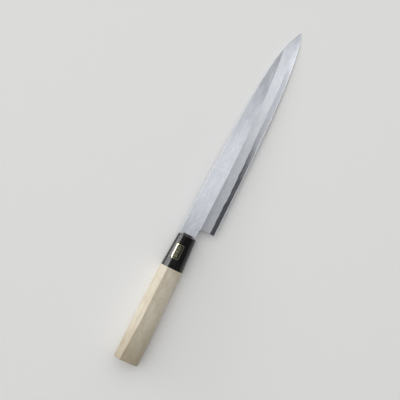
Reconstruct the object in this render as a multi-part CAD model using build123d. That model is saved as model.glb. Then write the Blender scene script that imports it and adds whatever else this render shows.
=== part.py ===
from build123d import *
import math
import os

os.makedirs("parts", exist_ok=True)

# A yanagiba: a long single-bevel slicing knife, in millimetres. It is drawn about the axis
# of its handle, with x = 0 at the front of the ferrule, +X to the tip, +Y to the spine and
# +Z to the bevelled side. At the end it is laid on its left side, as it lies on a table.

# Blade seen from the bevelled side. u is a share of blade_length, 0 at the shoulders, 1 at the tip.
blade_length = 240.0
machi_gap = 2.3
spine_rise = 9.25
spine_drop = 9.7
heel_drop = 24.8
belly_sag = 1.7
edge_rise = 11.6
tip_drop = 12.0
heel_setback = 10.2
neck_drop = 8.2
neck_radius = 2.2
spine_power = 1.75
nose_power = 10
edge_power = 4
edge_nose_power = 30

# Blade in thickness
spine_thick = 3.8
distal_taper = 1.9
edge_thick = 0.2
bevel_width = 15.8
bevel_narrowing = 0.8
spine_chamfer = 0.45
spine_chamfer_share = 0.25

# Hard steel layer, ground hollow on its back
strip_width = 5.5
strip_shares = (1.0, 0.95, 0.94, 0.97, 1.08, 1.17, 1.12, 1.03, 0.96, 1.02, 1.0)
hollow_radius = 240.0
hollow_rim = 2.0
hollow_start = 18.0
hollow_end_margin = 17.0
hollow_run_out = 14.0
hollow_end_share = 0.15

# Tang
tang_length = 98.0
tang_width = 9.3
tang_tip_width = 5.0
tang_thick = 3.4
tang_tip_thick = 2.0
tang_offset = 0.5
tang_root = 6.0
tang_fit = 0.12
tang_end_gap = 0.3

# Handle: horn ferrule and magnolia grip of one D-shaped section, with a ridge on the bevelled side
ferrule_length = 36.8
ferrule_front_width = 19.7
joint_width = 24.0
joint_thick = 19.2
grip_length = 106.4
grip_middle_width = 26.2
grip_middle_thick = 20.2
butt_width = 27.0
butt_thick = 20.8
ferrule_ridge = 4.3
grip_middle_ridge = 4.4
butt_ridge = 6.4
ferrule_chamfer = 0.6
butt_chamfer = 1.0
flat_crown = 0.1

# Round tenon of the grip, glued into the ferrule
tenon_diameter = 12.5
tenon_length = 24.0
tenon_fit = 0.1
tenon_end_gap = 0.3

# Foil label on the ferrule, wrapped over the ridge
label_length = 16.4
label_width = 8.5
label_thick = 0.1
label_glue = 0.05
label_corner = 1.5
label_setback = 10.0
label_centre = 1.9

# Cutters run past the piece that they cut by this much
overrun = 2.0

# Shape of the handle's section, as shares of its width or thickness
flat_edge_side_share = 0.28
flat_spine_side_share = 0.2
broad_face_slope = 14.0
narrow_face_slope = 40.0
narrow_flat_share = 0.64

# Shares of the blade's length at which its lines are worked out, closer together near the tip
station_count = 15
station_crowding = 1.7
station_shares = [1 - (1 - k / station_count) ** station_crowding for k in range(station_count + 1)]

tip_x = machi_gap + blade_length
heel_x = machi_gap + heel_setback
heel_share = heel_setback / blade_length
end_share = 1 + overrun / blade_length


def along(u):
    """x at a share of the blade's length."""
    return machi_gap + blade_length * u


def spine_y(u):
    """The spine runs nearly straight and then falls to the tip."""
    nose_drop = spine_rise - spine_drop + tip_drop
    return spine_rise - spine_drop * u ** spine_power - nose_drop * u ** nose_power


def edge_y(u):
    """The edge sags a little, rises towards the tip and turns up at the nose."""
    nose_rise = heel_drop + belly_sag - edge_rise - tip_drop
    rise = edge_rise * u ** edge_power + nose_rise * u ** edge_nose_power
    return rise - heel_drop - belly_sag * u


def thickness(u):
    """Thickness of the flat between the spine and the ridge of the bevel."""
    return spine_thick - distal_taper * u


def bevel_slope(u):
    """Rise of the bevel for each millimetre away from the edge."""
    return (thickness(u) - edge_thick) / (bevel_width - bevel_narrowing * u)


def bevel_z(u, y):
    return edge_thick + bevel_slope(u) * (y - edge_y(u))


def across(u, points):
    """A polygon of (y, z) points in the section of the blade at a share of its length."""
    return Plane.YZ.offset(along(u)) * make_face(Polyline(*points, close=True))


def blade_outline():
    """The blade seen from the bevelled side, with the neck and the notch behind the heel."""
    start_shares = [heel_share + (1 - heel_share) * share for share in station_shares]
    spine = Spline(*[(along(u), spine_y(u)) for u in station_shares])
    edge = Spline(*[(along(u), edge_y(u)) for u in reversed(start_shares)])
    notch_low = (heel_x, -neck_drop - neck_radius)
    notch_high = (heel_x - neck_radius, -neck_drop)
    heel = Line((heel_x, edge_y(heel_share)), notch_low)
    notch = RadiusArc(notch_low, notch_high, neck_radius)
    neck = Polyline(notch_high, (machi_gap, -neck_drop), (machi_gap, spine_rise))
    return make_face([spine, edge, heel, notch, neck])


def above_flat():
    """Wedge over the flat of the blade, which thins evenly to the tip."""
    top = spine_thick + overrun
    wedge = Polyline(
        (machi_gap - overrun, top),
        (machi_gap - overrun, thickness(-overrun / blade_length)),
        (along(end_share), thickness(end_share)),
        (along(end_share), top),
        close=True,
    )
    return extrude(Plane.XZ * make_face(wedge), heel_drop + spine_rise, both=True)


def above_bevel():
    """Everything over the bevel, from the edge to past the ridge."""
    reach = heel_drop + spine_rise + overrun
    sections = []
    for u in station_shares + [end_share]:
        low, high = edge_y(u) - overrun, edge_y(u) + reach
        points = [(low, bevel_z(u, low)), (high, bevel_z(u, high)), (low, bevel_z(u, high))]
        sections.append(across(u, points))
    return loft(sections)


def spine_top_z(u):
    return min(thickness(u), bevel_z(u, spine_y(u)))


def off_spine(side):
    """Strip that takes off one long corner of the spine: side 1 by the flat, -1 by the back."""
    sections = []
    for u in station_shares + [end_share]:
        corner = 0.0 if side < 0 else spine_top_z(u)
        size = min(spine_chamfer, spine_chamfer_share * spine_top_z(u))
        outside = spine_y(u) + overrun
        points = [
            (spine_y(u) - size - overrun, corner + side * overrun),
            (outside, corner - side * (size + overrun)),
            (outside, corner + side * overrun),
        ]
        sections.append(across(u, points))
    return loft(sections, ruled=True)


def hard_layer_block():
    """The space of the hard steel, from the heel to the tip. Its top is the uneven weld line."""
    last = len(strip_shares) - 1
    weld = []
    for number, share in enumerate(strip_shares):
        u = heel_share + (end_share - heel_share) * number / last
        weld.append((along(u), edge_thick + bevel_slope(u) * strip_width * share))
    sides = Polyline(weld[-1], (weld[-1][0], -overrun), (heel_x, -overrun), weld[0])
    profile = make_face([Spline(*weld), sides])
    return extrude(Plane.XZ * profile, heel_drop + spine_rise, both=True)


def back_hollow():
    """Shallow hollow of the back, with a flat rim round it that runs out at both ends."""
    first = (hollow_start - machi_gap) / blade_length
    final = 1 - hollow_end_margin / blade_length
    sections = []
    for number in range(station_count):
        share = number / (station_count - 1)
        u = first + (final - first) * share
        low, high = edge_y(u) + hollow_rim, spine_y(u) - hollow_rim - spine_chamfer
        from_end = min(share, 1 - share) * (final - first) * blade_length
        fade = min(1, hollow_end_share + from_end / hollow_run_out)
        depth = fade * (high - low) ** 2 / (8 * hollow_radius)
        arc = ThreePointArc((low, 0), ((low + high) / 2, depth), (high, 0))
        below = Polyline((high, 0), (high, -overrun), (low, -overrun), (low, 0))
        sections.append(Plane.YZ.offset(along(u)) * make_face([arc, below]))
    return loft(sections, ruled=True)


def tang_space(front_x, back_x, fit):
    """The tapered tang between two places, or the channel round it if fit is not zero."""
    sections = []
    for x in (front_x, back_x):
        share = (machi_gap - x) / tang_length
        width = tang_width + (tang_tip_width - tang_width) * share + 2 * fit
        thick = tang_thick + (tang_tip_thick - tang_thick) * share + 2 * fit
        sections.append(Plane.YZ.offset(x) * Pos(tang_offset, 0) * Rectangle(width, thick))
    return loft(sections, ruled=True)


# The blade's back lies under the handle axis by half of the thickness at the spine
def forged_blade():
    blank = extrude(blade_outline(), spine_thick)
    blank -= above_flat()
    blank -= above_bevel()
    blank -= off_spine(1)
    return blank - off_spine(-1)


blank = forged_blade()
layer = hard_layer_block()
to_axis = Pos(0, 0, -spine_thick / 2)
hard_steel = to_axis * ((blank & layer) - back_hollow())
soft_iron = to_axis * (blank - layer)
soft_iron += tang_space(machi_gap + tang_root, machi_gap - tang_length, 0)

# The lower flat of the ferrule points at the back of the tip, so the knife lies on both
rest_slope = (joint_thick - spine_thick) / 2 / (tip_x + ferrule_length)
ferrule_front_thick = spine_thick + 2 * rest_slope * tip_x


def grip_section(x, width, thick, ridge, inset=0.0):
    """D-shaped section: nearly flat below, round sides, and a ridge on top nearer to the spine.

    A broad face falls from the ridge to the edge side, and a narrow flat one to the round spine side."""
    half_width, half_thick = width / 2 - inset, thick / 2 - inset
    flat_low, flat_high = -flat_edge_side_share * width, flat_spine_side_share * width
    low_radius, high_radius = half_width + flat_low, half_width - flat_high
    broad, narrow = math.radians(broad_face_slope), math.radians(narrow_face_slope)
    edge_side = (-half_width, low_radius - half_thick)
    spine_side = (half_width, high_radius - half_thick)
    top = (ridge, half_thick)
    flat_reach = narrow_flat_share * (half_width - ridge)
    narrow_end = (ridge + flat_reach, half_thick - flat_reach * math.tan(narrow))
    below = ((flat_low + flat_high) / 2, -half_thick - flat_crown)
    outline = [
        ThreePointArc((flat_low, -half_thick), below, (flat_high, -half_thick)),
        RadiusArc((flat_high, -half_thick), spine_side, -high_radius),
        Spline(spine_side, narrow_end, tangents=[(0, 1), (-math.cos(narrow), math.sin(narrow))]),
        Line(narrow_end, top),
        Spline(top, edge_side, tangents=[(-math.cos(broad), -math.sin(broad)), (0, -1)]),
        RadiusArc(edge_side, (flat_low, -half_thick), -low_radius),
    ]
    return Plane.YZ.offset(x) * make_face(outline)


def ferrule_body(skin=0.0):
    """Outside of the ferrule, grown by a skin for what is stuck on it."""
    front = (ferrule_front_width + 2 * skin, ferrule_front_thick + 2 * skin, ferrule_ridge)
    back = (joint_width + 2 * skin, joint_thick + 2 * skin, ferrule_ridge)
    sections = [
        grip_section(0, *front, ferrule_chamfer),
        grip_section(-ferrule_chamfer, *front),
        grip_section(-ferrule_length, *back),
    ]
    return loft(sections, ruled=True)


def below_rest():
    """Everything under the plane on which the knife lies, from behind the butt to the ferrule's front."""
    front_x, back_x = overrun, -ferrule_length - grip_length - overrun
    front_z, back_z = [-spine_thick / 2 - rest_slope * (tip_x - x) for x in (front_x, back_x)]
    deep = back_z - joint_thick
    profile = Polyline((front_x, front_z), (back_x, back_z), (back_x, deep), (front_x, deep), close=True)
    return extrude(Plane.XZ * make_face(profile), joint_width, both=True)


tenon_front = tenon_length - ferrule_length
bore_depth = tenon_length + tenon_end_gap
bore_radius = tenon_diameter / 2 + tenon_fit
bore = Plane.YZ.offset(-ferrule_length - overrun) * Circle(bore_radius)
ferrule = ferrule_body()
ferrule -= extrude(bore, bore_depth + overrun)
ferrule -= tang_space(machi_gap, -ferrule_length, tang_fit)
ferrule -= below_rest()

butt_x = -ferrule_length - grip_length
middle_x = -ferrule_length - grip_length / 2
grip = loft([
    grip_section(-ferrule_length, joint_width, joint_thick, ferrule_ridge),
    grip_section(middle_x, grip_middle_width, grip_middle_thick, grip_middle_ridge),
    grip_section(butt_x + butt_chamfer, butt_width, butt_thick, butt_ridge),
])
grip += loft([
    grip_section(butt_x + butt_chamfer, butt_width, butt_thick, butt_ridge),
    grip_section(butt_x, butt_width, butt_thick, butt_ridge, butt_chamfer),
], ruled=True)
grip += extrude(Plane.YZ.offset(-ferrule_length) * Circle(tenon_diameter / 2), tenon_length)
grip -= tang_space(tenon_front + overrun, machi_gap - tang_length - tang_end_gap, tang_fit)
grip -= below_rest()

label_outline = Pos(-label_setback - label_length / 2, label_centre) * RectangleRounded(
    label_length, label_width, label_corner
)
label_skin = ferrule_body(label_glue + label_thick) - ferrule_body(label_glue)
label = label_skin & extrude(label_outline, joint_thick)

pieces = {
    "blade_soft_iron": soft_iron,
    "blade_hard_steel": hard_steel,
    "ferrule_horn": ferrule,
    "grip_magnolia": grip,
    "ferrule_label": label,
}

# Laid down: the tip and the flat of the ferrule on one level, and the origin under the middle
laid = {name: Rot(0, math.degrees(math.atan(rest_slope)), 0) * shape for name, shape in pieces.items()}
box = Compound([solid for shape in laid.values() for solid in shape.solids()]).bounding_box()
to_origin = Pos(-box.center().X, -box.center().Y, -box.min.Z)
for name, shape in laid.items():
    solids = [to_origin * solid for solid in shape.solids()]
    export_step(solids[0] if len(solids) == 1 else Compound(solids), f"parts/{name}.step")
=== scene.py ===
import math

import bmesh
import bpy
from mathutils import Matrix, Vector


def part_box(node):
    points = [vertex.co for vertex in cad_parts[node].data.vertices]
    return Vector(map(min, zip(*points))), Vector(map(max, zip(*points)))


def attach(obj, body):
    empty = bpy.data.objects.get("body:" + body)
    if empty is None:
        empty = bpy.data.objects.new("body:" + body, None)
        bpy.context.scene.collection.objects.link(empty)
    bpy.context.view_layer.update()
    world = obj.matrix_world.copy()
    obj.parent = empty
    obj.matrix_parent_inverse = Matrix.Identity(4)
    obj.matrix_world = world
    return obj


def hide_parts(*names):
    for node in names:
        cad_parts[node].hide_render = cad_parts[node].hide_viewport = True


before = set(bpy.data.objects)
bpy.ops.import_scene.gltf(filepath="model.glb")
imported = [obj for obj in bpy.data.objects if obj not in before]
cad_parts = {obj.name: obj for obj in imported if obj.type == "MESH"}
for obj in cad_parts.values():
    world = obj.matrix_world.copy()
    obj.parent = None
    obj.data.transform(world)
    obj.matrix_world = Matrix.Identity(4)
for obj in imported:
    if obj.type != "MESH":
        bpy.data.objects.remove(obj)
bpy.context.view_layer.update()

# Soft iron of the blade: neck, shoulders and tang are forged in one with the upper layer of the blade.
# The flat beside the spine is satined along the blade, and the bevel under its ridge has the haze of a
# natural stone. The tang keeps its dark forge scale and is driven into the handle.
mm = 0.001
blade_length = 240.0 * mm
machi_gap = 2.3 * mm
spine_rise = 9.25 * mm
spine_drop = 9.7 * mm
heel_drop = 24.8 * mm
belly_sag = 1.7 * mm
edge_rise = 11.6 * mm
tip_drop = 12.0 * mm
heel_setback = 10.2 * mm
neck_drop = 8.2 * mm
neck_radius = 2.2 * mm
spine_power = 1.75
nose_power = 10
edge_power = 4
edge_nose_power = 30
spine_thick = 3.8 * mm
distal_taper = 1.9 * mm
edge_thick = 0.2 * mm
bevel_width = 15.8 * mm
bevel_narrowing = 0.8 * mm
bevel_fullness = 0.3 * mm
tip_fullness = 0.2 * mm
iron_fullness_power = 1.6
steel_fullness_power = 1.3
spine_chamfer = 0.45 * mm
spine_chamfer_share = 0.25
strip_width = 5.5 * mm
strip_shares = (1.0, 0.95, 0.94, 0.97, 1.08, 1.17, 1.12, 1.03, 0.96, 1.02, 1.0)
ripple_depth = 0.35 * mm
ripple_length = 25.0 * mm
ripple_swell_length = 66.0 * mm
fine_ripple_depth = 0.15 * mm
fine_ripple_length = 8.7 * mm
tang_length = 98.0 * mm
tang_width = 9.3 * mm
tang_tip_width = 5.0 * mm
tang_thick = 3.4 * mm
tang_tip_thick = 2.0 * mm
tang_offset = 0.5 * mm
tang_ease = 0.3 * mm
ferrule_length = 36.8 * mm
joint_thick = 19.2 * mm
heel_share = heel_setback / blade_length
tip_x = machi_gap + blade_length
back_z = -spine_thick / 2
station_crowding = 1.5
tang_steps = 12
neck_steps = 4
heel_round_steps = 8
iron_steps = 150
bevel_steps = 5

# The finishes of the iron, by their place in its list of materials
satined, hazed, scaled, brushed = range(4)

# The knife is drawn about its handle axis, with x = 0 at the front of the ferrule, and laid() puts a point
# of that drawing where the frame has it. It lies on the tip and on the lower flat of the ferrule.
rest_slope = (joint_thick - spine_thick) / 2 / (tip_x + ferrule_length)
rest_turn = Matrix.Rotation(math.atan(rest_slope), 4, "Y")
ferrule_low, ferrule_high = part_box("ferrule_horn")
tip_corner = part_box("blade_hard_steel")[1]
tip_turned = rest_turn @ Vector((tip_x, 0, back_z))
shift = Vector((tip_corner.x - tip_turned.x, (ferrule_low.y + ferrule_high.y) / 2, -tip_turned.z))


def laid(x, y, z):
    return rest_turn @ Vector((x, y, z)) + shift


def along(u):
    return machi_gap + blade_length * u


def spine_y(u):
    nose_drop = spine_rise - spine_drop + tip_drop
    return spine_rise - spine_drop * u ** spine_power - nose_drop * u ** nose_power


def edge_y(u):
    nose_rise = heel_drop + belly_sag - edge_rise - tip_drop
    rise = edge_rise * u ** edge_power + nose_rise * u ** edge_nose_power
    return rise - heel_drop - belly_sag * u


def thickness(u):
    return spine_thick - distal_taper * u


def ridge_y(u):
    """Where the flat ends and the bevel begins."""
    return edge_y(u) + bevel_width - bevel_narrowing * u


def strip_reach(u):
    """How far the hard steel shows from the edge: unevenly, as the two metals were hammered together."""
    place = (u - heel_share) / (1 - heel_share) * (len(strip_shares) - 1)
    number = int(min(max(place, 0), len(strip_shares) - 2))
    ease = (1 - math.cos(math.pi * min(max(place - number, 0), 1))) / 2
    share = strip_shares[number] * (1 - ease) + strip_shares[number + 1] * ease
    turn = 2 * math.pi * along(u)
    ripple = ripple_depth * math.sin(turn / ripple_length) * math.sin(turn / ripple_swell_length)
    return strip_width * share + ripple + fine_ripple_depth * math.sin(turn / fine_ripple_length)


def bevel_height(u, y):
    """Height of the bevel over the blade's back: a wedge, a little full where its two metals meet."""
    width = ridge_y(u) - edge_y(u)
    share, weld_share = (y - edge_y(u)) / width, strip_reach(u) / width
    from_edge = max(share / weld_share, 0) ** steel_fullness_power
    from_ridge = max((1 - share) / (1 - weld_share), 0) ** iron_fullness_power
    fullness = (bevel_fullness + (tip_fullness - bevel_fullness) * u) * min(from_edge, from_ridge)
    return edge_thick + (thickness(u) - edge_thick) * share + fullness


def spine_corner(u):
    """Chamfer of the spine and the height of its upper corner."""
    top = min(thickness(u), bevel_height(u, spine_y(u)))
    chamfer = min(spine_chamfer, spine_chamfer_share * top)
    return chamfer, min(top, bevel_height(u, spine_y(u) - chamfer))


def weld_line_y(u):
    """Where the weld line lies on the bevel, up to where it meets the spine."""
    return min(edge_y(u) + strip_reach(u), spine_y(u) - spine_corner(u)[0])


def blade_stations(first, last, count):
    """Shares of the blade's length, closer together near the tip."""
    return [first + (last - first) * (1 - (1 - k / count) ** station_crowding) for k in range(count + 1)]


def join_rows(shape, row, after, finishes):
    """Faces between two rows of vertices round the knife. finishes gives the material of each strip."""
    for number, finish in enumerate(finishes):
        other = (number + 1) % len(row)
        face = shape.faces.new((row[number], row[other], after[other], after[number]))
        face.material_index = finish


def add_rows(shape, rings, finishes):
    """A skin through rings of points of the drawing. Returns its rows of vertices."""
    rows = [[shape.verts.new(laid(*point)) for point in ring] for ring in rings]
    for row, after in zip(rows, rows[1:]):
        join_rows(shape, row, after, finishes)
    return rows


def finished_piece(name, shape, materials, crease):
    """The object of a skin. Edges that bend by more than crease, in degrees, stay sharp."""
    same_point = 0.002 * mm
    bmesh.ops.remove_doubles(shape, verts=shape.verts, dist=same_point)
    bmesh.ops.dissolve_degenerate(shape, dist=same_point, edges=shape.edges)
    bmesh.ops.recalc_face_normals(shape, faces=shape.faces)
    for face in shape.faces:
        face.smooth = True
    for edge in shape.edges:
        edge.smooth = edge.calc_face_angle(math.pi) < math.radians(crease)
    mesh = bpy.data.meshes.new(name)
    shape.to_mesh(mesh)
    shape.free()
    for material in materials:
        mesh.materials.append(material)
    piece = bpy.data.objects.new(name, mesh)
    bpy.context.scene.collection.objects.link(piece)
    return piece


def tang_ring(x, grow=0.0):
    """Nine points round the tang, or round its channel if it grows."""
    share = (machi_gap - x) / tang_length
    half_width = (tang_width + (tang_tip_width - tang_width) * share) / 2 + grow
    half_thick = (tang_thick + (tang_tip_thick - tang_thick) * share) / 2 + grow
    low, high = tang_offset - half_width, tang_offset + half_width
    return [
        (x, low, -half_thick + tang_ease),
        (x, low + tang_ease, -half_thick),
        (x, high - tang_ease, -half_thick),
        (x, high, -half_thick + tang_ease),
        (x, high, 0),
        (x, high, half_thick - tang_ease),
        (x, high - tang_ease, half_thick),
        (x, low + tang_ease, half_thick),
        (x, low, half_thick - tang_ease),
    ]


def neck_ring(x, low):
    """Nine points round the neck: the corners of the spine are off, and the bevel's wedge is cut away."""
    u = (x - machi_gap) / blade_length
    chamfer, top = spine_corner(u)
    spine, ridge = spine_y(u), max(ridge_y(u), low)
    weld = bevel_height(heel_share, weld_line_y(heel_share))
    points = [
        (low, weld),
        (low, 0),
        (spine - chamfer, 0),
        (spine, chamfer),
        (spine, weld),
        (spine, top - chamfer),
        (spine - chamfer, top),
        (ridge, top),
        (low, min(top, bevel_height(u, low))),
    ]
    return [(x, y, back_z + z) for y, z in points]


def iron_ring(u, inner_share, bevel_shares):
    """Ring of the layer over the hard steel: weld, spine, flat, and then the bevel down to the weld line."""
    chamfer, top = spine_corner(u)
    spine, weld_y = spine_y(u), weld_line_y(u)
    ridge = max(min(ridge_y(u), spine - chamfer), weld_y)
    weld = bevel_height(u, weld_y)
    side = min(weld, top - chamfer)
    points = [
        (weld_y, weld),
        (weld_y + (spine - weld_y) * inner_share, weld),
        (spine, side),
        (spine, top - chamfer),
        (spine - chamfer, top),
        (ridge, bevel_height(u, ridge) if ridge < ridge_y(u) else top),
    ]
    for share in bevel_shares:
        y = ridge + (weld_y - ridge) * share
        points.append((y, bevel_height(u, y)))
    return [(along(u), y, back_z + z) for y, z in points]


def iron_shape():
    """Tang, shoulders, neck and the layer up to the tip, as one closed skin."""
    shape = bmesh.new()
    tang_places = [machi_gap - tang_length * (1 - k / tang_steps) for k in range(tang_steps + 1)]
    tang_rings = [tang_ring(x) for x in tang_places]
    tang = add_rows(shape, tang_rings, (scaled,) * len(tang_rings[0]))
    shape.faces.new(tang[0]).material_index = scaled

    # The neck runs forward to the round inner corner of the heel, and follows that corner down
    straight_neck = heel_setback - neck_radius
    rings = [neck_ring(machi_gap + straight_neck * k / neck_steps, -neck_drop) for k in range(neck_steps + 1)]
    heel_x = machi_gap + heel_setback
    for k in range(1, heel_round_steps + 1):
        turn = math.pi / 2 * k / heel_round_steps
        rings.append(neck_ring(
            heel_x - neck_radius * (1 - math.sin(turn)), -neck_drop - neck_radius * (1 - math.cos(turn))
        ))
    neck_finishes = (satined, satined, brushed, brushed, brushed, brushed, satined, hazed, satined)
    neck = add_rows(shape, rings, neck_finishes)
    join_rows(shape, tang[-1], neck[0], (satined,) * len(tang[-1]))

    # At the heel the layer goes on from the upper part of the neck, and the hard steel lies against the rest
    notch = -neck_drop - neck_radius
    weld_y, spine, ridge = weld_line_y(heel_share), spine_y(heel_share), ridge_y(heel_share)
    inner_share = (notch - weld_y) / (spine - weld_y)
    first = (notch - ridge) / (weld_y - ridge)
    bevel_shares = [first + (1 - first) * k / bevel_steps for k in range(bevel_steps)]
    last, tip_step = 1.0, 0.001
    while weld_line_y(last) >= spine_y(last) - spine_corner(last)[0]:
        last -= tip_step
    rings = [iron_ring(u, inner_share, bevel_shares) for u in blade_stations(heel_share, last, iron_steps)]
    above_notch = len(rings[0]) - bevel_steps + 1
    end = neck[-1]
    corner = shape.verts.new(laid(*rings[0][0]))
    bevel = [shape.verts.new(laid(*point)) for point in rings[0][above_notch:]]
    start = [corner, end[0], *end[4:9], *bevel]
    shape.faces.new([corner, end[0], end[8], *bevel])
    shape.faces.new(end[:5])
    finishes = (satined, satined, brushed, brushed, satined) + (hazed,) * (len(start) - 5)
    rows = add_rows(shape, rings[1:], finishes)
    join_rows(shape, start, rows[0], finishes)
    shape.faces.new(rows[-1])
    return shape


def linear(hex_colour):
    """An sRGB hex colour as the linear values that a shader takes."""
    values = [int(hex_colour[k:k + 2], 16) / 255 for k in (0, 2, 4)]
    return [v / 12.92 if v <= 0.04045 else ((v + 0.055) / 1.055) ** 2.4 for v in values] + [1.0]


def add(tree, kind, settings=None, **links):
    """Adds a shader node, sets its properties and sockets, and links its inputs, by name or as _number."""
    node = tree.nodes.new(kind)
    for name, value in (settings or {}).items():
        if name.startswith("_"):
            node.inputs[int(name[1:])].default_value = value
        elif name in node.inputs and not hasattr(node, name):
            node.inputs[name].default_value = value
        else:
            setattr(node, name, value)
    for name, source in links.items():
        socket = node.inputs[int(name[1:])] if name[0] == "_" else node.inputs[name]
        tree.links.new(source, socket)
    return node


def new_material(name):
    """An empty node material and the shader that it ends in."""
    material = bpy.data.materials.new(name)
    material.use_nodes = True
    tree = material.node_tree
    tree.nodes.clear()
    shader = add(tree, "ShaderNodeBsdfPrincipled")
    add(tree, "ShaderNodeOutputMaterial", None, Surface=shader.outputs["BSDF"])
    return material, tree, shader


def pattern_place(tree, sizes_mm):
    """Coordinates of the knife, counted in periods of a pattern along, across and up."""
    place = add(tree, "ShaderNodeTexCoord").outputs["Object"]
    settings = {"Scale": [1 / (size * mm) for size in sizes_mm]}
    return add(tree, "ShaderNodeMapping", settings, Vector=place).outputs["Vector"]


def ground_steel(name, dark, pale, roughness, haze, stroke_mm, stroke_depth_mm):
    """Steel off a stone: strokes of the grit, a cloudy haze in its gloss, and small specks of tone."""
    cloud_mm, speck_mm = (16, 6, 6), (1.6, 1.2, 1.2)
    material, tree, shader = new_material(name)
    strokes = add(
        tree, "ShaderNodeTexNoise", {"Scale": 1.0, "Detail": 3.0, "Roughness": 0.6},
        Vector=pattern_place(tree, stroke_mm),
    )
    clouds = add(
        tree, "ShaderNodeTexNoise", {"Scale": 1.0, "Detail": 5.0, "Roughness": 0.6},
        Vector=pattern_place(tree, cloud_mm),
    )
    specks = add(
        tree, "ShaderNodeTexNoise", {"Scale": 1.0, "Detail": 2.0}, Vector=pattern_place(tree, speck_mm)
    )
    mottle = add(
        tree, "ShaderNodeMixRGB", {"_0": 0.3}, _1=clouds.outputs["Fac"], _2=specks.outputs["Fac"]
    )
    tone = add(
        tree, "ShaderNodeMapRange", {"From Min": 0.35, "From Max": 0.65}, Value=mottle.outputs["Color"]
    )
    colour = add(
        tree, "ShaderNodeMixRGB", {"Color1": linear(dark), "Color2": linear(pale)}, _0=tone.outputs["Result"]
    )
    gloss = add(
        tree, "ShaderNodeMapRange",
        {"From Min": 0.3, "From Max": 0.7, "To Min": roughness - haze, "To Max": roughness + haze},
        Value=clouds.outputs["Fac"],
    )
    bump = add(
        tree, "ShaderNodeBump", {"Strength": 1.0, "Distance": stroke_depth_mm * mm}, Height=strokes.outputs["Fac"]
    )
    shader.inputs["Metallic"].default_value = 1.0
    tree.links.new(colour.outputs["Color"], shader.inputs["Base Color"])
    tree.links.new(gloss.outputs["Result"], shader.inputs["Roughness"])
    tree.links.new(bump.outputs["Normal"], shader.inputs["Normal"])
    return material


# Low carbon iron, satined along the blade: a pale, soft grey that keeps the shape of a reflection. The
# strokes of every finish here are drawn a few times coarser than the real grit, so that they show.
satin_iron = ground_steel("satined_soft_iron", "acafb5", "c0c3c9", 0.22, 0.03, (40, 0.5, 0.5), 0.0015)
# The same iron under a natural stone: more haze, and strokes across the bevel
hazed_iron = ground_steel("stone_hazed_soft_iron", "b1b4b9", "c0c3c8", 0.26, 0.015, (1.2, 9, 1.2), 0.0004)
# The spine's own faces, left off a coarser stone
brushed_iron = ground_steel("brushed_spine_iron", "aeb1b6", "bcbfc4", 0.45, 0.05, (12, 0.5, 0.5), 0.003)
# Forge scale: thin black oxide on the hidden part, rough and dull
scaled_iron = ground_steel("forge_scaled_iron", "3b3938", "6d6b69", 0.52, 0.08, (3, 1.5, 1.5), 0.06)

iron_finishes = [satin_iron, hazed_iron, scaled_iron, brushed_iron]
iron = finished_piece("blade_iron_body", iron_shape(), iron_finishes, crease=4)
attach(iron, "root")
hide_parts("blade_soft_iron")

# Hard steel of the blade: a thin high carbon layer welded under the iron. It shows as a darker, mirror-like
# strip below the weld line, ends in a fine honed edge, and its back is ground hollow with a flat rim.
hollow_radius = 240.0 * mm
hollow_rim = 2.0 * mm
hollow_start = 18.0 * mm
hollow_end_margin = 17.0 * mm
hollow_run_out = 14.0 * mm
hollow_end_share = 0.15
honed_width = 0.5 * mm
honed_drop = 0.07 * mm
hollow_steps = 14
strip_steps = 4
steel_steps = 190
steel_end_share = 0.9995


def hollow_depth(u):
    """Depth of the hollow at its middle: the curve of a large grindstone, running out at both ends."""
    from_end = min(blade_length * u + machi_gap - hollow_start, blade_length * (1 - u) - hollow_end_margin)
    if from_end < 0:
        return 0.0
    width = spine_y(u) - edge_y(u) - 2 * hollow_rim - spine_chamfer
    return min(1, hollow_end_share + from_end / hollow_run_out) * width ** 2 / (8 * hollow_radius)


def steel_ring(u):
    """Ring of the hard steel: strip down to the edge, back with its rim and hollow, and side of the spine."""
    chamfer, top = spine_corner(u)
    weld_y, edge, spine = weld_line_y(u), edge_y(u), spine_y(u)
    honed_y = edge + min(honed_width, (spine - edge) / 8)
    rim = min(hollow_rim, (spine - edge) / 5)
    low, high = edge + rim, spine - chamfer - rim
    points = []
    for k in range(strip_steps + 1):
        y = weld_y + (honed_y - weld_y) * k / strip_steps
        points.append((y, bevel_height(u, y)))
    points.append((edge, bevel_height(u, honed_y) - honed_drop))
    points.append((edge, 0))
    for k in range(hollow_steps + 1):
        share = k / hollow_steps
        points.append((low + (high - low) * share, 4 * hollow_depth(u) * share * (1 - share)))
    points += [(spine - chamfer, 0), (spine, chamfer), (spine, min(bevel_height(u, weld_y), top - chamfer))]
    return [(along(u), y, back_z + z) for y, z in points]


# High carbon steel off a fine stone: nearly a mirror, so it goes dark where the room beside it is dark
polished_steel = ground_steel("stone_polished_hard_steel", "b1b4ba", "bbbec4", 0.14, 0.03, (30, 0.5, 0.5), 0.001)
# The honed edge itself: a fine bright line, because it turns a little more to the light, and as a painted
# highlight its colour is painted paler than the rest of the steel
honed_steel_painted_bright = ground_steel("honed_edge_steel_painted_bright", "d2d5da", "dfe1e5", 0.28, 0.03, (8, 0.8, 0.8), 0.001)

steel_shape = bmesh.new()
steel_rings = [steel_ring(u) for u in blade_stations(heel_share, steel_end_share, steel_steps)]
polished, honed_painted_bright = range(2)
rest_of_ring = len(steel_rings[0]) - strip_steps - 1
steel_finishes = (polished,) * strip_steps + (honed_painted_bright,) + (polished,) * rest_of_ring
steel_rows = add_rows(steel_shape, steel_rings, steel_finishes)
steel_shape.faces.new(steel_rows[0])
steel_shape.faces.new(steel_rows[-1])
hard_layer = finished_piece("blade_hard_steel_layer", steel_shape, [polished_steel, honed_steel_painted_bright], crease=4)
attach(hard_layer, "root")
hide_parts("blade_hard_steel")

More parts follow.
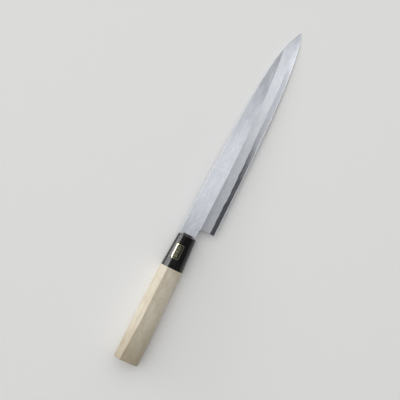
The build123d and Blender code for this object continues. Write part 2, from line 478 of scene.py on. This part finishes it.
# Grip: one piece of Japanese magnolia, planed and sanded to a D section with a ridge on the bevelled side.
# A round tenon is turned on its front, and a channel is burned into it for the tang.
grip_length = 106.4 * mm
joint_width = 24.0 * mm
grip_middle_width = 26.2 * mm
grip_middle_thick = 20.2 * mm
butt_width = 27.0 * mm
butt_thick = 20.8 * mm
ferrule_ridge = 4.3 * mm
grip_middle_ridge = 4.4 * mm
butt_ridge = 6.4 * mm
butt_ease = 1.0 * mm
joint_ease = 0.12 * mm
ridge_ease = 0.3 * mm
tenon_diameter = 12.5 * mm
tenon_length = 24.0 * mm
tang_fit = 0.12 * mm
flat_edge_side_share = 0.28
flat_spine_side_share = 0.2
broad_face_slope = math.radians(14)
narrow_face_slope = math.radians(40)
narrow_flat_share = 0.64

# How far each curve of the section keeps its direction, as shares of the distance that it bridges
spine_side_hold = 0.41
narrow_face_hold = 0.295
broad_face_hold = 0.38
edge_side_hold = 0.468

# Points along each part of the section, and rings along the grip
underside_points = 8
low_corner_points = 14
spine_side_points = 12
narrow_face_points = 6
broad_face_points = 30
grip_steps = 30
butt_ease_steps = 5


def straight(start, end, count):
    """Points from one to another, without the last."""
    return [Vector(start).lerp(Vector(end), k / count) for k in range(count)]


def arc(centre, radius, start, end, count):
    """Points along an arc from one angle to another, in degrees, without the last."""
    turns = [math.radians(start + (end - start) * k / count) for k in range(count)]
    return [Vector(centre) + radius * Vector((math.cos(turn), math.sin(turn))) for turn in turns]


def bend(start, leave, end, arrive, count):
    """Points of a smooth curve that leaves and arrives along two given vectors, without the last."""
    start, end = Vector(start), Vector(end)
    first, second = start + leave, end - arrive
    points = []
    for k in range(count):
        t = k / count
        points.append(
            (1 - t) ** 3 * start + 3 * t * (1 - t) ** 2 * first + 3 * t ** 2 * (1 - t) * second + t ** 3 * end
        )
    return points


def d_section(x, width, thick, ridge, inset=0.0):
    """Ring round the handle: flat below, round spine side, narrow flat face, ridge, broad face, edge side."""
    half_width, half_thick = width / 2 - inset, thick / 2 - inset
    flat_low, flat_high = -flat_edge_side_share * width, flat_spine_side_share * width
    low_radius, high_radius = half_width + flat_low, half_width - flat_high
    edge_side = (-half_width, low_radius - half_thick)
    spine_side = (half_width, high_radius - half_thick)
    top = Vector((ridge, half_thick))
    down_narrow = Vector((math.cos(narrow_face_slope), -math.sin(narrow_face_slope)))
    down_broad = Vector((-math.cos(broad_face_slope), -math.sin(broad_face_slope)))
    narrow_end = top + down_narrow * narrow_flat_share * (half_width - ridge) / down_narrow.x
    before, after = top + down_narrow * ridge_ease, top + down_broad * ridge_ease
    spine_reach = (narrow_end - Vector(spine_side)).length
    edge_reach = (top - Vector(edge_side)).length
    points = straight((flat_low, -half_thick), (flat_high, -half_thick), underside_points)
    points += arc((flat_high, high_radius - half_thick), high_radius, -90, 0, low_corner_points)
    points += bend(
        spine_side, Vector((0, spine_side_hold * spine_reach)),
        narrow_end, -narrow_face_hold * spine_reach * down_narrow, spine_side_points,
    )
    points += straight(narrow_end, before, narrow_face_points)
    points += [(1 - t) ** 2 * before + 2 * t * (1 - t) * top + t ** 2 * after for t in (0, 0.25, 0.5, 0.75)]
    points += bend(
        after, broad_face_hold * edge_reach * down_broad,
        edge_side, Vector((0, -edge_side_hold * edge_reach)), broad_face_points,
    )
    points += arc((flat_low, low_radius - half_thick), low_radius, 180, 270, low_corner_points)
    return [(x, point[0], point[1]) for point in points]


grip_front = -ferrule_length
grip_back = -ferrule_length - grip_length


def through_three(share, front, middle, back):
    """A smooth change through three sizes, at the front, half way and at the back."""
    ends = front * (1 - share) * (1 - 2 * share) + back * share * (2 * share - 1)
    return ends + 4 * middle * share * (1 - share)


def grip_ring(x, inset=0.0):
    """Section of the grip at x, which swells a little towards the middle and the butt."""
    share = min((grip_front - x) / (grip_length - butt_ease), 1.0)
    return d_section(
        x,
        through_three(share, joint_width, grip_middle_width, butt_width),
        through_three(share, joint_thick, grip_middle_thick, butt_thick),
        through_three(share, ferrule_ridge, grip_middle_ridge, butt_ridge),
        inset,
    )


def round_ring(ring, x, radius):
    """Circle about the axis, with its points in the directions of another ring's points."""
    turns = [math.atan2(z, y) for _, y, z in ring]
    return [(x, radius * math.cos(turn), radius * math.sin(turn)) for turn in turns]


def slot_ring(ring, x, grow):
    """Outline of the tang's channel, with its points in the directions of another ring's points."""
    outline = tang_ring(x, grow)
    low_y, high_y = min(y for _, y, _ in outline), max(y for _, y, _ in outline)
    half_z = max(z for _, _, z in outline)
    points = []
    for _, y, z in ring:
        turn = math.atan2(z, y)
        cos, sin = math.cos(turn), math.sin(turn)
        reach = min((high_y if cos > 0 else -low_y) / max(abs(cos), 1e-9), half_z / max(abs(sin), 1e-9))
        points.append((x, reach * cos, reach * sin))
    return points


def grip_shape():
    """The grip from the end of its channel, out over the tenon and the joint, and back to the butt."""
    joint = grip_ring(grip_front)
    tenon_end = grip_front + tenon_length
    channel_end = machi_gap - tang_length - tang_fit
    rings = [
        slot_ring(joint, channel_end, tang_fit),
        slot_ring(joint, tenon_end, tang_fit),
        round_ring(joint, tenon_end, tenon_diameter / 2),
        round_ring(joint, grip_front, tenon_diameter / 2),
        grip_ring(grip_front, joint_ease),
        grip_ring(grip_front - joint_ease),
    ]
    straight_length = grip_length - butt_ease
    rings += [grip_ring(grip_front - straight_length * k / grip_steps) for k in range(1, grip_steps + 1)]
    for k in range(1, butt_ease_steps + 1):
        turn = math.pi / 2 * k / butt_ease_steps
        rings.append(grip_ring(grip_back + butt_ease * (1 - math.sin(turn)), butt_ease * (1 - math.cos(turn))))
    shape = bmesh.new()
    rows = add_rows(shape, rings, (0,) * len(joint))
    shape.faces.new(rows[0])
    shape.faces.new(rows[-1])
    return shape


def magnolia():
    """Bare magnolia, sanded and left without oil: pale and matt, with faint growth rings and streaks of pores.

    It has a few flecks and yellow smudges from the hand, and is darker towards the butt. The pores are drawn
    several times as wide as real ones, so that they show."""
    pore_mm, stain_mm, fleck_mm, smudge_mm = (20, 1.7, 1.7), (26, 7, 7), (6, 0.8, 0.8), (15, 8, 8)
    ring_width = 2.6 * mm
    pith_place = (0, 60 * mm, 34 * mm)
    darker_length = 0.55 * grip_length
    material, tree, shader = new_material("sanded_magnolia")
    place = add(tree, "ShaderNodeTexCoord").outputs["Object"]
    pith = add(tree, "ShaderNodeMapping", {"Location": pith_place, "Scale": (0.12, 1, 1)}, Vector=place)
    rings = add(
        tree, "ShaderNodeTexWave",
        {"wave_type": "RINGS", "rings_direction": "X", "Scale": 2 * math.pi / (20 * ring_width),
         "Distortion": 2.2, "Detail": 2.0, "Detail Scale": 0.35, "Detail Roughness": 0.55},
        Vector=pith.outputs["Vector"],
    )
    pores = add(
        tree, "ShaderNodeTexNoise", {"Scale": 1.0, "Detail": 5.0, "Roughness": 0.62},
        Vector=pattern_place(tree, pore_mm),
    )
    stains = add(
        tree, "ShaderNodeTexNoise", {"Scale": 1.0, "Detail": 4.0, "Distortion": 0.8},
        Vector=pattern_place(tree, stain_mm),
    )
    flecks = add(tree, "ShaderNodeTexNoise", {"Scale": 1.0, "Detail": 2.0}, Vector=pattern_place(tree, fleck_mm))
    fibre = add(tree, "ShaderNodeMixRGB", {"_0": 0.65}, _1=pores.outputs["Fac"], _2=stains.outputs["Fac"])
    tone = add(tree, "ShaderNodeMixRGB", {"_0": 0.12}, _1=fibre.outputs["Color"], _2=rings.outputs["Fac"])
    ramp = add(tree, "ShaderNodeValToRGB", None, Fac=tone.outputs["Color"])
    ramp.color_ramp.elements[0].position = 0.3
    ramp.color_ramp.elements[0].color = linear("d0c6b1")
    ramp.color_ramp.elements[1].position = 0.7
    ramp.color_ramp.elements[1].color = linear("e7dece")
    ramp.color_ramp.elements.new(0.5).color = linear("ddd4c1")
    fleck_amount = add(
        tree, "ShaderNodeMapRange", {"From Min": 0.68, "From Max": 0.8, "To Max": 0.35}, Value=flecks.outputs["Fac"]
    )
    flecked = add(
        tree, "ShaderNodeMixRGB", {"Color2": linear("8f806a")},
        _0=fleck_amount.outputs["Result"], _1=ramp.outputs["Color"],
    )
    smudges = add(
        tree, "ShaderNodeTexNoise", {"Scale": 1.0, "Detail": 4.0, "Roughness": 0.6, "Distortion": 0.6},
        Vector=pattern_place(tree, smudge_mm),
    )
    smudge_amount = add(
        tree, "ShaderNodeMapRange", {"From Min": 0.48, "From Max": 0.7, "To Max": 0.38}, Value=smudges.outputs["Fac"]
    )
    smudged = add(
        tree, "ShaderNodeMixRGB", {"Color2": linear("b7a077")},
        _0=smudge_amount.outputs["Result"], _1=flecked.outputs["Color"],
    )
    butt_amount = add(
        tree, "ShaderNodeMapRange",
        {"From Min": laid(grip_back + darker_length, 0, 0).x, "From Max": laid(grip_back, 0, 0).x, "To Max": 0.6},
        Value=add(tree, "ShaderNodeSeparateXYZ", None, Vector=place).outputs["X"],
    )
    colour = add(
        tree, "ShaderNodeMixRGB", {"Color2": linear("9a8a6c")},
        _0=butt_amount.outputs["Result"], _1=smudged.outputs["Color"],
    )
    bump = add(tree, "ShaderNodeBump", {"Strength": 1.0, "Distance": 0.015 * mm}, Height=pores.outputs["Fac"])
    tree.links.new(colour.outputs["Color"], shader.inputs["Base Color"])
    tree.links.new(bump.outputs["Normal"], shader.inputs["Normal"])
    shader.inputs["Roughness"].default_value = 0.6
    shader.inputs["IOR"].default_value = 1.45
    return material


grip = finished_piece("grip_d_shaped", grip_shape(), [magnolia()], crease=20)
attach(grip, "root")
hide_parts("grip_magnolia")

# Ferrule: buffalo horn, bored for the tenon, slotted in front for the tang and glued on flush with the grip.
# It is ground to the same D section, tapers to the front and is buffed to a gloss.
ferrule_front_width = 19.7 * mm
ferrule_front_thick = spine_thick + 2 * rest_slope * tip_x
ferrule_ease = 0.6 * mm
tenon_fit = 0.1 * mm
tenon_end_gap = 0.3 * mm
ferrule_ease_steps = 5
ferrule_steps = 12


def ferrule_ring(x, inset=0.0, skin=0.0):
    """Section of the ferrule at x, drawn in by an inset or grown by a skin."""
    share = min(max((-x - ferrule_ease) / (ferrule_length - ferrule_ease), 0.0), 1.0)
    return d_section(
        x,
        ferrule_front_width + (joint_width - ferrule_front_width) * share + 2 * skin,
        ferrule_front_thick + (joint_thick - ferrule_front_thick) * share + 2 * skin,
        ferrule_ridge,
        inset,
    )


def ferrule_shape():
    """The ferrule from the mouth of its bore, through the tang's slot, over the front and back to the joint."""
    joint = ferrule_ring(grip_front)
    bore_end = grip_front + tenon_length + tenon_end_gap
    bore_radius = tenon_diameter / 2 + tenon_fit
    rings = [
        round_ring(joint, grip_front, bore_radius),
        round_ring(joint, bore_end, bore_radius),
        slot_ring(joint, bore_end, tang_fit),
        slot_ring(joint, 0, tang_fit),
    ]
    for k in range(ferrule_ease_steps + 1):
        turn = math.pi / 2 * k / ferrule_ease_steps
        rings.append(ferrule_ring(-ferrule_ease * (1 - math.cos(turn)), ferrule_ease * (1 - math.sin(turn))))
    step = (ferrule_length - 2 * ferrule_ease) / ferrule_steps
    rings += [ferrule_ring(-ferrule_ease - step * k) for k in range(1, ferrule_steps)]
    rings += [ferrule_ring(grip_front + joint_ease), ferrule_ring(grip_front, joint_ease)]
    shape = bmesh.new()
    finishes = (0,) * len(joint)
    rows = add_rows(shape, rings, finishes)
    join_rows(shape, rows[-1], rows[0], finishes)
    return shape


def horn():
    """Buffed black horn: nearly black, with fibres along it that break up its gloss into streaks.

    The fibres are drawn several times as wide as real ones, so that they show."""
    fibre_mm = (26, 0.9, 0.9)
    material, tree, shader = new_material("buffed_buffalo_horn")
    fibres = add(
        tree, "ShaderNodeTexNoise", {"Scale": 1.0, "Detail": 4.0, "Roughness": 0.6, "Distortion": 0.2},
        Vector=pattern_place(tree, fibre_mm),
    )
    ramp = add(tree, "ShaderNodeValToRGB", None, Fac=fibres.outputs["Fac"])
    ramp.color_ramp.elements[0].position = 0.45
    ramp.color_ramp.elements[0].color = linear("080707")
    ramp.color_ramp.elements[1].position = 0.8
    ramp.color_ramp.elements[1].color = linear("211d1b")
    gloss = add(
        tree, "ShaderNodeMapRange", {"From Min": 0.3, "From Max": 0.7, "To Min": 0.1, "To Max": 0.38},
        Value=fibres.outputs["Fac"],
    )
    bump = add(tree, "ShaderNodeBump", {"Strength": 1.0, "Distance": 0.012 * mm}, Height=fibres.outputs["Fac"])
    tree.links.new(ramp.outputs["Color"], shader.inputs["Base Color"])
    tree.links.new(gloss.outputs["Result"], shader.inputs["Roughness"])
    tree.links.new(bump.outputs["Normal"], shader.inputs["Normal"])
    shader.inputs["IOR"].default_value = 1.5
    return material


ferrule = finished_piece("ferrule_d_shaped", ferrule_shape(), [horn()], crease=20)
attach(ferrule, "root")
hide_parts("ferrule_horn")

# Label: a small self-adhesive metal foil, rubbed down over the ridge of the ferrule. Its printed ground is
# a dark olive, with a thin pale gold line round it and a row of three plain gold roundels.
label_length = 16.4 * mm
label_width = 8.5 * mm
label_thick = 0.1 * mm
label_corner = 1.5 * mm
label_setback = 10.0 * mm
label_centre = 1.9 * mm
label_glue = 0.05 * mm
label_rows = 34
label_row_steps = 24


def ferrule_height(x, y, skin):
    """Height over the axis of the upper side of the ferrule, grown by a skin."""
    side = sorted((point[1], point[2]) for point in ferrule_ring(x, 0.0, skin) if point[2] > 0)
    for (near, near_z), (far, far_z) in zip(side, side[1:]):
        if near <= y < far:
            return near_z + (far_z - near_z) * (y - near) / (far - near)
    return side[-1][1]


def label_shape():
    """The foil's upper and lower sides, of rows along it that get shorter at its round corners, and its rim."""
    middle_x = -label_setback - label_length / 2
    rows = []
    for number in range(label_rows + 1):
        turn = math.pi * (number / label_rows - 0.5)
        y = label_width / 2 * math.sin(turn)
        into = max(abs(y) - (label_width / 2 - label_corner), 0.0)
        half = label_length / 2 - label_corner + math.sqrt(label_corner ** 2 - into ** 2)
        places = [middle_x + half * (2 * k / label_row_steps - 1) for k in range(label_row_steps + 1)]
        rows.append([(x, y + label_centre) for x in places])
    shape = bmesh.new()
    sides = []
    for skin in (label_glue + label_thick, label_glue):
        grid = [[shape.verts.new(laid(x, y, ferrule_height(x, y, skin))) for x, y in row] for row in rows]
        for row, after in zip(grid, grid[1:]):
            for k in range(label_row_steps):
                shape.faces.new((row[k], row[k + 1], after[k + 1], after[k]))
        rim = grid[0][:-1] + [row[-1] for row in grid[:-1]] + grid[-1][:0:-1] + [row[0] for row in grid[:0:-1]]
        sides.append(rim)
    join_rows(shape, sides[0], sides[1], (0,) * len(sides[0]))
    return shape


def foil():
    """Printed metal foil: it mirrors, so it is dark towards the dark side and flashes where it faces light."""
    wear_mm = (2.5, 1.2, 1.2)
    material, tree, shader = new_material("printed_metal_foil")
    centre = laid(-label_setback - label_length / 2, label_centre, 0)
    place = add(tree, "ShaderNodeTexCoord").outputs["Object"]
    from_centre = add(
        tree, "ShaderNodeVectorMath", {"operation": "SUBTRACT", "_1": (centre.x, centre.y, 0)}, _0=place
    )
    spot = add(
        tree, "ShaderNodeVectorMath", {"operation": "MULTIPLY", "_1": (1, 1, 0)}, _0=from_centre.outputs["Vector"]
    )

    # The line round the foil lies where a point is one corner radius out from an inner rectangle
    line_inset = 0.6 * mm
    line_width = 0.45 * mm
    corner = label_corner - line_inset / 2
    inner_half = (label_length / 2 - line_inset - corner, label_width / 2 - line_inset - corner, 0)
    aside = add(tree, "ShaderNodeVectorMath", {"operation": "ABSOLUTE"}, _0=spot.outputs["Vector"])
    over = add(
        tree, "ShaderNodeVectorMath", {"operation": "SUBTRACT", "_1": inner_half}, _0=aside.outputs["Vector"]
    )
    out = add(tree, "ShaderNodeVectorMath", {"operation": "MAXIMUM", "_1": (0, 0, 0)}, _0=over.outputs["Vector"])
    reach = add(tree, "ShaderNodeVectorMath", {"operation": "LENGTH"}, _0=out.outputs["Vector"])
    print_amount = add(
        tree, "ShaderNodeMath", {"operation": "COMPARE", "_1": corner, "_2": line_width / 2},
        _0=reach.outputs["Value"],
    )

    # Three roundels along the foil, each of two rings and a dot
    roundel_spacing = 4.2 * mm
    ring_half_width = 0.18 * mm
    roundel = ((1.55 * mm, ring_half_width), (0.85 * mm, ring_half_width), (0.0, 0.3 * mm))
    for number in (-1, 0, 1):
        distance = add(
            tree, "ShaderNodeVectorMath", {"operation": "DISTANCE", "_1": (number * roundel_spacing, 0, 0)},
            _0=spot.outputs["Vector"],
        )
        for radius, half_width in roundel:
            ring = add(
                tree, "ShaderNodeMath", {"operation": "COMPARE", "_1": radius, "_2": half_width},
                _0=distance.outputs["Value"],
            )
            print_amount = add(
                tree, "ShaderNodeMath", {"operation": "MAXIMUM"},
                _0=print_amount.outputs["Value"], _1=ring.outputs["Value"],
            )

    wear = add(
        tree, "ShaderNodeTexNoise", {"Scale": 1.0, "Detail": 3.0}, Vector=pattern_place(tree, wear_mm)
    )
    ground = add(
        tree, "ShaderNodeMixRGB", {"Color1": linear("605f49"), "Color2": linear("716f57")}, _0=wear.outputs["Fac"]
    )
    colour = add(
        tree, "ShaderNodeMixRGB", {"Color2": linear("e2e0cb")},
        _0=print_amount.outputs["Value"], _1=ground.outputs["Color"],
    )
    gloss = add(tree, "ShaderNodeMapRange", {"To Min": 0.17, "To Max": 0.24}, Value=wear.outputs["Fac"])
    bump = add(tree, "ShaderNodeBump", {"Strength": 1.0, "Distance": 0.008 * mm}, Height=wear.outputs["Fac"])
    tree.links.new(colour.outputs["Color"], shader.inputs["Base Color"])
    tree.links.new(gloss.outputs["Result"], shader.inputs["Roughness"])
    tree.links.new(bump.outputs["Normal"], shader.inputs["Normal"])
    shader.inputs["Metallic"].default_value = 1.0
    return material


label = finished_piece("ferrule_foil_label", label_shape(), [foil()], crease=30)
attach(label, "root")
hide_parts("ferrule_label")

# Floor: a plain pale table top of matt painted board, large enough to fill every view. It only keeps the
# knife's shadow.
floor_half = 4.0
floor_shape = bmesh.new()
bmesh.ops.create_grid(floor_shape, x_segments=1, y_segments=1, size=floor_half)
floor_mesh = bpy.data.meshes.new("floor")
floor_shape.to_mesh(floor_mesh)
floor_shape.free()
floor = bpy.data.objects.new("floor", floor_mesh)
bpy.context.scene.collection.objects.link(floor)
floor_material, floor_tree, floor_shader = new_material("matt_pale_board")
floor_shader.inputs["Base Color"].default_value = linear("f5f5f4")
floor_shader.inputs["Roughness"].default_value = 0.9
floor.data.materials.append(floor_material)

# Light: a long low softbox on the spine side, a narrow one over the front half of the blade, and a room
# that is pale over the spine side and all round the horizon, and dim above the edge side.
def softbox(name, place, target, size, radiance):
    """A rectangular lamp that faces a target. An area light's power is its radiance times pi times its area."""
    data = bpy.data.lights.new(name, "AREA")
    data.shape = "RECTANGLE"
    data.size, data.size_y = size
    data.energy = radiance * math.pi * size[0] * size[1]
    light = bpy.data.objects.new(name, data)
    light.location = place
    light.rotation_euler = (Vector(target) - Vector(place)).to_track_quat("-Z", "Y").to_euler()
    light.visible_camera = False
    bpy.context.scene.collection.objects.link(light)
    return light


middle = laid(0, 0, 0)
low_place = Vector((middle.x + 0.2, middle.y + 1.5, 0.27))
low_size, low_radiance = (1.2, 0.22), 7.0
softbox("softbox_spine_side", low_place, middle, low_size, low_radiance)
over_place = Vector((0.19, -0.08, 0.6))
over_size, over_radiance, over_turn = (0.428, 0.125), 0.85, math.radians(-37.5)
over = softbox("softbox_over_blade", over_place, over_place - Vector((0, 0, 1)), over_size, over_radiance)
over.rotation_euler = (0, 0, over_turn)

# The room's tone goes by how far a direction turns to bright_side. Each pair is a place on that scale and a tone.
bright_side = (0.6, 1.0, 0.35)
horizon_tone = 0.68
dome_tones = ((-0.11, 0.12), (-0.005, 1.08), (0.1, 1.05), (0.27, 0.97), (0.36, 0.67), (0.48, 0.66), (0.8, 1.1))
world = bpy.data.worlds.new("pale_room")
world.use_nodes = True
bpy.context.scene.world = world
room = world.node_tree
room.nodes.clear()
direction = add(room, "ShaderNodeTexCoord").outputs["Generated"]
towards = add(room, "ShaderNodeVectorMath", {"operation": "DOT_PRODUCT", "_1": bright_side}, _0=direction)
dome_low, dome_high = -0.2, 1.2
dome_place = add(
    room, "ShaderNodeMapRange", {"From Min": dome_low, "From Max": dome_high}, Value=towards.outputs["Value"]
)
dome = add(room, "ShaderNodeValToRGB", None, Fac=dome_place.outputs["Result"])
stops = dome.color_ramp.elements
stops.remove(stops[1])
for number, (place, level) in enumerate(dome_tones):
    stop = stops[0] if number == 0 else stops.new((place - dome_low) / (dome_high - dome_low))
    stop.position = (place - dome_low) / (dome_high - dome_low)
    stop.color = (level, level, level, 1)
height = add(
    room, "ShaderNodeMapRange", {"From Min": 0.05, "From Max": 0.18},
    Value=add(room, "ShaderNodeSeparateXYZ", None, Vector=direction).outputs["Z"],
)
tone = add(
    room, "ShaderNodeMixRGB", {"Color1": (horizon_tone, horizon_tone, horizon_tone, 1)},
    _0=height.outputs["Result"], _2=dome.outputs["Color"],
)
background = add(room, "ShaderNodeBackground", None, Color=tone.outputs["Color"])
add(room, "ShaderNodeOutputWorld", None, Surface=background.outputs["Background"])

# Camera: straight above the knife, turned so that the blade points up and to the right. Its height follows
# from the width that it has to see.
view_width = 414.0 * mm
view_height = 8.0 * mm
view_turn = math.radians(63.6)
camera_data = bpy.data.cameras.new("camera")
camera_data.lens = 100.0
camera = bpy.data.objects.new("camera", camera_data)
bpy.context.scene.collection.objects.link(camera)
view_target = laid(39.6 * mm, 5.1 * mm, 0)
camera_height = view_height + view_width * camera_data.lens / camera_data.sensor_width
camera.location = (view_target.x, view_target.y, camera_height)
camera.rotation_euler = (0, 0, -view_turn)
bpy.context.scene.camera = camera
bpy.context.scene.view_settings.view_transform = "Standard"
